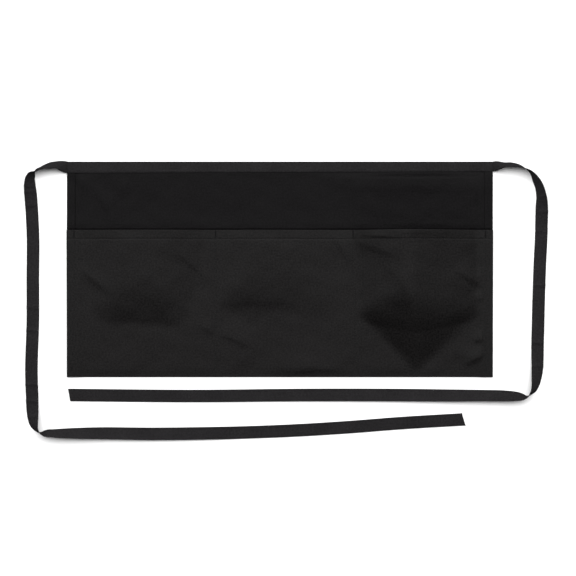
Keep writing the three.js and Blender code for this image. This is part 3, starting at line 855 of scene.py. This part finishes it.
def at_places(places, travelled, values):
    """Points or normals at places along a line."""
    return np.column_stack([np.interp(places, travelled, values[:, k]) for k in range(3)])


def line_stitches(line, normals):
    """Stitches at even steps along a line of points with a normal at each."""
    travelled = distances(line)
    middles = np.arange(STITCH_PITCH / 2, travelled[-1], STITCH_PITCH)
    ahead = at_places(middles + STITCH_LENGTH / 2, travelled, line)
    ahead -= at_places(middles - STITCH_LENGTH / 2, travelled, line)
    centres = at_places(middles, travelled, line)
    return place_stitches(centres, ahead, at_places(middles, travelled, normals), STITCH_LENGTH)


def join_stitches(name, groups):
    """One object from the stitches of several lines."""
    points, faces = [], []
    for group_points, group_faces in groups:
        start = sum(len(p) for p in points)
        points.append(group_points)
        faces += [[corner + start for corner in face] for face in group_faces]
    made = new_object(name, np.concatenate(points), faces)
    print(f"{name}: {len(made.data.polygons)} faces")
    return made

# %% [markdown]
# The rows lie on the upper face of the cloth, which the same functions give that shaped it, and
# their normals come from the slope of that face. A Shrinkwrap modifier could lay them down too, but
# it moves every point, and so it would flatten the cushions.

# %% Surfaces that the stitches lie on
HEM_EDGE = 1.2 * MM
LINE_STEP = 1.5 * MM
SLOPE_STEP = 0.5 * MM


def front_height(x, y):
    """Top of the pocket cloth, which the stitches lie on."""
    cloth_top = SURFACE_CLEARANCE + 2 * hem_lift(x) + PLY + CLOTH + HEM_LIFT * over_mouth_hem(y)
    return cloth_top + pocket_rise(x, y) + pocket_grooves(x, y)


def upper_height(x, y):
    """Top of the back panel above the pockets."""
    return back_height(x, y) + CLOTH / 2 + hem_lift(x, HEM_EDGE)


def over(surface, start, end):
    """A line over a surface from start to end, with its normals."""
    count = max(3, int(math.dist(start, end) / LINE_STEP))
    share = np.linspace(0, 1, count)
    x, y = mix(start[0], end[0], share), mix(start[1], end[1], share)
    z = surface(x, y)
    slope_x = (z - surface(x + SLOPE_STEP, y)) / SLOPE_STEP
    slope_y = (z - surface(x, y + SLOPE_STEP)) / SLOPE_STEP
    return np.column_stack([x, y, z]), np.column_stack([slope_x, slope_y, np.ones(count)])

# %% Rows of stitches on the cloth
ROW_START = BOTTOM + 3 * MM
MOUTH_GAP = 1 * MM

side_x = HALF_WIDTH - SIDE_ROW
pocket_lines = [
    over(front_height, (-side_x, MOUTH - MOUTH_ROW), (side_x, MOUTH - MOUTH_ROW)),
    over(front_height, (-side_x, ROW_START), (-side_x, MOUTH - MOUTH_GAP)),
    over(front_height, (side_x, ROW_START), (side_x, MOUTH - MOUTH_GAP)),
]
dividers = []
for k in (1, 2):
    top_x = float(seam_places(np.array(MOUTH))[k])
    bottom_x = float(seam_places(np.array(BOTTOM))[k])
    dividers.append((top_x, bottom_x))
    pocket_lines.append(over(front_height, (bottom_x, ROW_START), (top_x, MOUTH - MOUTH_GAP)))
pocket_stitches = join_stitches("pocket_stitches", [line_stitches(*line) for line in pocket_lines])

upper_lines = [
    over(upper_height, (way * side_x, MOUTH + MOUTH_GAP), (way * side_x, TOP - BAND_LEFT))
    for way in (-1, 1)
]
back_stitches = join_stitches("back_panel_stitches", [line_stitches(*line) for line in upper_lines])

# %% [markdown]
# The tape has one row close to its open edge, through both layers, so it shows on both faces. On the
# waistband the same row holds the cloth. On the ties it follows the tape as it rolls over.

# %% Rows of stitches along the tape
def band_front(x, y):
    """Top of the waistband, which is level from its fold to its open edge."""
    return SURFACE_CLEARANCE + 2 * TAPE + hem_lift(x) + 2 * PLY - TAPE + 0 * y


band_line = over(
    band_front, (-HALF_WIDTH, TOP - BAND_LEFT + BAND_ROW), (HALF_WIDTH, TOP - BAND_RIGHT + BAND_ROW))
under_line = (band_line[0] * (1, 1, 0) + (0, 0, SURFACE_CLEARANCE), -band_line[1])
band_stitches = join_stitches(
    "waistband_stitches", [line_stitches(*band_line), line_stitches(*under_line)])


def tie_rows(frame_of_tie):
    """The row along the open edge of a tie, on both faces."""
    beside = (frame_of_tie["width"] / 2 - BAND_ROW)[:, None] * frame_of_tie["across"]
    half = LAYER_ROOM / 2 + TAPE
    first = int(SPREAD_LENGTH / TIE_STEP) - 1
    rows = []
    for way in (1, -1):
        face = frame_of_tie["centre"] + beside + way * half * frame_of_tie["through"]
        rows.append(line_stitches(face[first:], way * frame_of_tie["through"][first:]))
    return rows


left_stitches = join_stitches("tie_left_stitches", tie_rows(left_frame))
right_stitches = join_stitches("tie_right_stitches", tie_rows(right_frame))

# %% [markdown]
# A bar tack is a short, dense zigzag that locks a seam where it is pulled most: at the pocket mouth,
# over each divider and at both sides, and once in the lower left corner. Its threads lie side by
# side across the seam, so each is one long stitch of the same template.

# %% Bar tacks
TACK_LENGTH = 11.5 * MM
TACK_WIDTH = 2.2 * MM
TACK_PITCH = 0.5 * MM
TACK_SLANT = 0.12
TACK_RISE = THREAD / 3
CORNER_TACK = ((-298 * MM, -139.5 * MM), (-298 * MM, -143 * MM))
UP = np.array([0.0, 0.0, 1.0])


def bar_tack(surface, start, end):
    """Threads across the line from start to end."""
    line = over(surface, start, end)[0]
    travelled = distances(line)
    places = np.arange(0, travelled[-1], TACK_PITCH)
    centres = at_places(places, travelled, line)
    centres[:, 2] += TACK_RISE
    whole = line[-1] - line[0]
    across = np.tile(np.cross(UP, whole), (len(places), 1))
    across += np.tile(whole, (len(places), 1)) * TACK_SLANT
    return place_stitches(centres, across, np.tile(UP, (len(places), 1)), TACK_WIDTH)


tacks = []
for top_x, bottom_x in dividers:
    end_x = mix(top_x, bottom_x, TACK_LENGTH / POCKET_HEIGHT)
    tacks.append(bar_tack(front_height, (top_x, MOUTH - MOUTH_GAP), (end_x, MOUTH - TACK_LENGTH)))
for x in (-side_x, side_x):
    tacks.append(bar_tack(front_height, (x, MOUTH - MOUTH_GAP), (x, MOUTH - TACK_LENGTH)))
tacks.append(bar_tack(front_height, *CORNER_TACK))
bar_tacks = join_stitches("bar_tacks", tacks)

# %% [markdown]
# ## Materials
#
# Both materials are woven polyester and cotton, dyed black. The twill of the body has a diagonal line and
# a dull, slightly silky sheen. The tape is denser and a little lighter. A black cloth is never one
# colour: pressing leaves it smoother here and rougher there, so colour and roughness vary a little over a
# few centimetres. The small spots where the thread catches light are put into the colour as painted
# sheen.

# %% Colour and node helpers
def linear(hex_colour):
    """An sRGB hex colour, such as '#1b1b1c', to linear red, green, blue and alpha."""
    channels = [int(hex_colour[k:k + 2], 16) / 255 for k in (1, 3, 5)]
    return [c / 12.92 if c <= 0.04045 else ((c + 0.055) / 1.055) ** 2.4 for c in channels] + [1.0]


def add_node(tree, kind, settings=None, inputs=None):
    """A node of that kind. inputs maps a socket's name or number to a value or another socket."""
    node = tree.nodes.new(kind)
    for key, value in (settings or {}).items():
        setattr(node, key, value)
    for key, value in (inputs or {}).items():
        if isinstance(value, bpy.types.NodeSocket):
            tree.links.new(value, node.inputs[key])
        else:
            node.inputs[key].default_value = value
    return node


def new_material(name):
    material = bpy.data.materials.new(name)
    material.use_nodes = True
    material.node_tree.nodes.clear()
    return material, material.node_tree

# %% [markdown]
# One recipe makes every woven cloth here. Diagonal lines are the weave and give most of the relief.
# Slubs, the thicker spots of a spun yarn, make the grain in colour, roughness and relief. In the colour
# they also stand for the glints of the yarn, as painted sheen. Patches a few centimetres wide are the
# places that were pressed or rubbed. An image of real cloth could give all of this, but nodes in metres
# stay sharp at any size and follow the folds through the UV map.

# %% Woven cloth
# Blender's wave texture repeats after this length at a scale of 1.
NODE_WAVE_PERIOD = 2 * math.pi / 20
# Real twill lines are about 0.5 mm apart, and slubs a fraction of a millimetre wide. Both are too
# fine to show from above, so they are drawn as coarse as they need to show.
WALE = 0.9 * MM
SLUB = 2.38 * MM
PATCH = 35.7 * MM
RELIEF = 0.12 * MM
ROUGHNESS_SPREAD = 0.1
SLUB_RELIEF = 0.8
SLUB_WEAR = 2.0
FABRIC_IOR = 1.45


def woven(name, dark, light, grain_and_sheen, roughness, specular, wale_angle, bump):
    """Woven cloth with diagonal lines, in its own metres. The slubs vary its colour by the given share,
    which is partly the yarn's own tone and partly painted sheen.
    """
    material, tree = new_material(name)
    place = add_node(tree, "ShaderNodeUVMap", {"uv_map": "cloth_metres"})
    turned = add_node(tree, "ShaderNodeMapping", {}, {"Vector": place.outputs[0]})
    turned.inputs["Rotation"].default_value = (0, 0, math.radians(wale_angle))
    lines = add_node(
        tree, "ShaderNodeTexWave", {"wave_type": "BANDS", "bands_direction": "X"},
        {"Vector": turned.outputs[0], "Scale": NODE_WAVE_PERIOD / WALE,
         "Distortion": 1.2, "Detail": 2.0})
    slub = add_node(
        tree, "ShaderNodeTexNoise", {}, {"Vector": place.outputs[0], "Scale": 1 / SLUB, "Detail": 3.0})
    patches = add_node(
        tree, "ShaderNodeTexNoise", {}, {"Vector": place.outputs[0], "Scale": 1 / PATCH, "Detail": 4.0})
    shade = add_node(
        tree, "ShaderNodeMixRGB", {},
        {"Fac": patches.outputs["Fac"], "Color1": linear(dark), "Color2": linear(light)})
    # The slubs scale the colour up and down: the yarn's own tone, plus painted sheen where the yarn would
    # catch light.
    slub_grain_and_sheen = add_node(
        tree, "ShaderNodeMapRange", {},
        {"Value": slub.outputs["Fac"], "From Min": 0.3, "From Max": 0.7,
         "To Min": 1 - grain_and_sheen, "To Max": 1 + grain_and_sheen})
    colour = add_node(
        tree, "ShaderNodeVectorMath", {"operation": "SCALE"},
        {0: shade.outputs[0], "Scale": slub_grain_and_sheen.outputs[0]})
    wear = add_node(
        tree, "ShaderNodeMath", {"operation": "MULTIPLY_ADD"},
        {0: slub.outputs["Fac"], 1: SLUB_WEAR, 2: patches.outputs["Fac"]})
    rough = add_node(
        tree, "ShaderNodeMapRange", {},
        {"Value": wear.outputs[0], "From Min": 1.0, "From Max": 2.0,
         "To Min": roughness - ROUGHNESS_SPREAD, "To Max": roughness + ROUGHNESS_SPREAD})
    relief = add_node(
        tree, "ShaderNodeMath", {"operation": "MULTIPLY_ADD"},
        {0: slub.outputs["Fac"], 1: SLUB_RELIEF, 2: lines.outputs["Fac"]})
    bumped = add_node(
        tree, "ShaderNodeBump", {},
        {"Strength": bump, "Distance": RELIEF, "Height": relief.outputs[0]})
    shader = add_node(
        tree, "ShaderNodeBsdfPrincipled", {},
        {"Base Color": colour.outputs[0], "Roughness": rough.outputs[0], "Normal": bumped.outputs[0],
         "IOR": FABRIC_IOR, "Specular IOR Level": specular})
    add_node(tree, "ShaderNodeOutputMaterial", {}, {"Surface": shader.outputs[0]})
    return material

# %% [markdown]
# Sewing thread is polyester filament, twisted and dyed black. Its colour is set a shade darker than the
# cloth, as painted shade for the needle holes beside each stitch. It is smoother than the cloth, so a
# stitch has a small soft highlight on its back, broken up by the turns of the twist.

# %% Sewing thread
TWIST = 0.35 * MM
TWIST_RELIEF = 0.05 * MM
THREAD_ROUGHNESS = 0.55
THREAD_SPECULAR = 0.1
POLYESTER_IOR = 1.5


def thread(name, colour):
    """Twisted thread, with the turns of its twist as a fine relief."""
    material, tree = new_material(name)
    place = add_node(tree, "ShaderNodeTexCoord")
    twist = add_node(
        tree, "ShaderNodeTexWave", {"wave_type": "BANDS", "bands_direction": "DIAGONAL"},
        {"Vector": place.outputs["Object"], "Scale": NODE_WAVE_PERIOD / TWIST})
    bumped = add_node(
        tree, "ShaderNodeBump", {},
        {"Strength": 0.4, "Distance": TWIST_RELIEF, "Height": twist.outputs["Fac"]})
    shader = add_node(
        tree, "ShaderNodeBsdfPrincipled", {},
        {"Base Color": linear(colour), "Roughness": THREAD_ROUGHNESS, "Normal": bumped.outputs[0],
         "IOR": POLYESTER_IOR, "Specular IOR Level": THREAD_SPECULAR})
    add_node(tree, "ShaderNodeOutputMaterial", {}, {"Surface": shader.outputs[0]})
    return material

# %% [markdown]
# The same cloth shows two faces: its right side on the pockets and, since it is folded up at the
# bottom edge, its reverse on the panel behind them. The two differ a little in real twill, and here
# that keeps the pockets readable against the panel.

# %% The four finishes and their pieces
# Right side of a woven cotton and polyester twill: long floats of yarn, side by side in slanting
# lines. They give the eye a dull black with a slightly silky sheen and a fine grain.
twill = woven(
    "black_cotton_polyester_twill", dark="#0b0a0a", light="#0f0e0e", grain_and_sheen=1.0, roughness=0.44,
    specular=0.105, wale_angle=27, bump=0.9)

# Reverse of the same twill: shorter floats, so it looks deeper black and has less sheen.
reverse = woven(
    "black_twill_reverse", dark="#060506", light="#090809", grain_and_sheen=1.0, roughness=0.5,
    specular=0.07, wale_angle=27, bump=0.9)

# Narrow tape, woven dense from spun yarn. It is matt, so it looks greyer than the twill and keeps
# one even tone along its whole length.
tape_cloth = woven(
    "black_woven_tape", dark="#1b1a1b", light="#252425", grain_and_sheen=0.35, roughness=0.6,
    specular=0.0, wale_angle=-63, bump=0.9)

# Polyester thread, a shade darker than the cloth as painted shade of the needle holes: it shows as a fine
# broken line and the shadow beside it, hardly as a colour.
stitch_thread = thread("black_polyester_thread", "#090809")

for piece, finish in (
    (back_panel, reverse), (pocket_panel, twill), (waistband, tape_cloth), (tie_left, tape_cloth),
    (tie_right, tape_cloth), (pocket_stitches, stitch_thread), (back_stitches, stitch_thread),
    (band_stitches, stitch_thread), (left_stitches, stitch_thread), (right_stitches, stitch_thread),
    (bar_tacks, stitch_thread),
):
    piece.data.materials.append(finish)
print("materials:", [m.name for m in (twill, reverse, tape_cloth, stitch_thread)])

# %% [markdown]
# ## Floor and light
#
# The apron lies on a plain white surface under soft studio light. Most of the light comes from
# above and beyond the waistband, so every slope that faces the bottom edge is darker than the flat
# cloth around it: that is what makes the swelling of the pockets readable on black cloth. Several
# small lamps would show it too, but would put hard lines on the slopes.

# %% White floor
FLOOR_SIZE = 12.0
FLOOR_ROUGHNESS = 0.9
SPECKLES_ACROSS = 60.0

floor = new_object(
    "floor", [(x * FLOOR_SIZE, y * FLOOR_SIZE, 0) for x, y in ((-1, -1), (1, -1), (1, 1), (-1, 1))],
    [[0, 1, 2, 3]])

# Matt white board: it sends light back evenly, so the eye sees no highlight and no edge in it.
floor_paint, tree = new_material("white_matt_surface")
speckle = add_node(tree, "ShaderNodeTexNoise", {}, {"Scale": SPECKLES_ACROSS, "Detail": 4.0})
tone = add_node(
    tree, "ShaderNodeMixRGB", {},
    {"Fac": speckle.outputs["Fac"], "Color1": linear("#f6f6f6"), "Color2": linear("#f9f9f9")})
shader = add_node(
    tree, "ShaderNodeBsdfPrincipled", {},
    {"Base Color": tone.outputs[0], "Roughness": FLOOR_ROUGHNESS})
add_node(tree, "ShaderNodeOutputMaterial", {}, {"Surface": shader.outputs[0]})
floor.data.materials.append(floor_paint)
print("floor, in metres across:", 2 * FLOOR_SIZE)

# %% Soft light from beyond the waistband
FILL_STRENGTH = 0.2


def softbox(name, place, width, height, power):
    """A wide area light that faces the middle of the apron."""
    data = bpy.data.lights.new(name, "AREA")
    data.shape = "RECTANGLE"
    data.size = width
    data.size_y = height
    data.energy = power
    lamp = bpy.data.objects.new(name, data)
    lamp.location = place
    direction = -np.array(place) / np.linalg.norm(place)
    turned = math.atan2(direction[1], direction[0]) - math.pi / 2
    lamp.rotation_euler = (math.acos(-direction[2]), 0, turned)
    bpy.context.scene.collection.objects.link(lamp)
    return lamp


key_light = softbox("wide_softbox", place=(0, 1.4, 2.5), width=11.0, height=3.0, power=388)
print("softbox, in watts:", key_light.data.energy)
world = bpy.data.worlds.new("studio")
world.use_nodes = True
background = world.node_tree.nodes["Background"]
background.inputs["Color"].default_value = (1, 1, 1, 1)
background.inputs["Strength"].default_value = FILL_STRENGTH
bpy.context.scene.world = world
bpy.context.scene.view_settings.view_transform = "Standard"

# %% [markdown]
# ## Joining the frame
#
# Each piece says which frame body it rides on and which solid it stands for.

# %% Ride and replace
for piece, nodes, slot_name in (
    (back_panel, ["back_panel"], "apron_cloth"),
    (pocket_panel, ["pocket_panel"], "apron_cloth"),
    (waistband, ["waistband"], "tape"),
    (tie_left, ["tie_left"], "tape"),
    (tie_right, ["tie_right"], "tape"),
    (pocket_stitches, [], "apron_cloth"),
    (back_stitches, [], "apron_cloth"),
    (bar_tacks, [], "apron_cloth"),
    (band_stitches, [], "tape"),
    (left_stitches, [], "tape"),
    (right_stitches, [], "tape"),
):
    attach(piece, "root")
    if nodes:
        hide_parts(*nodes)
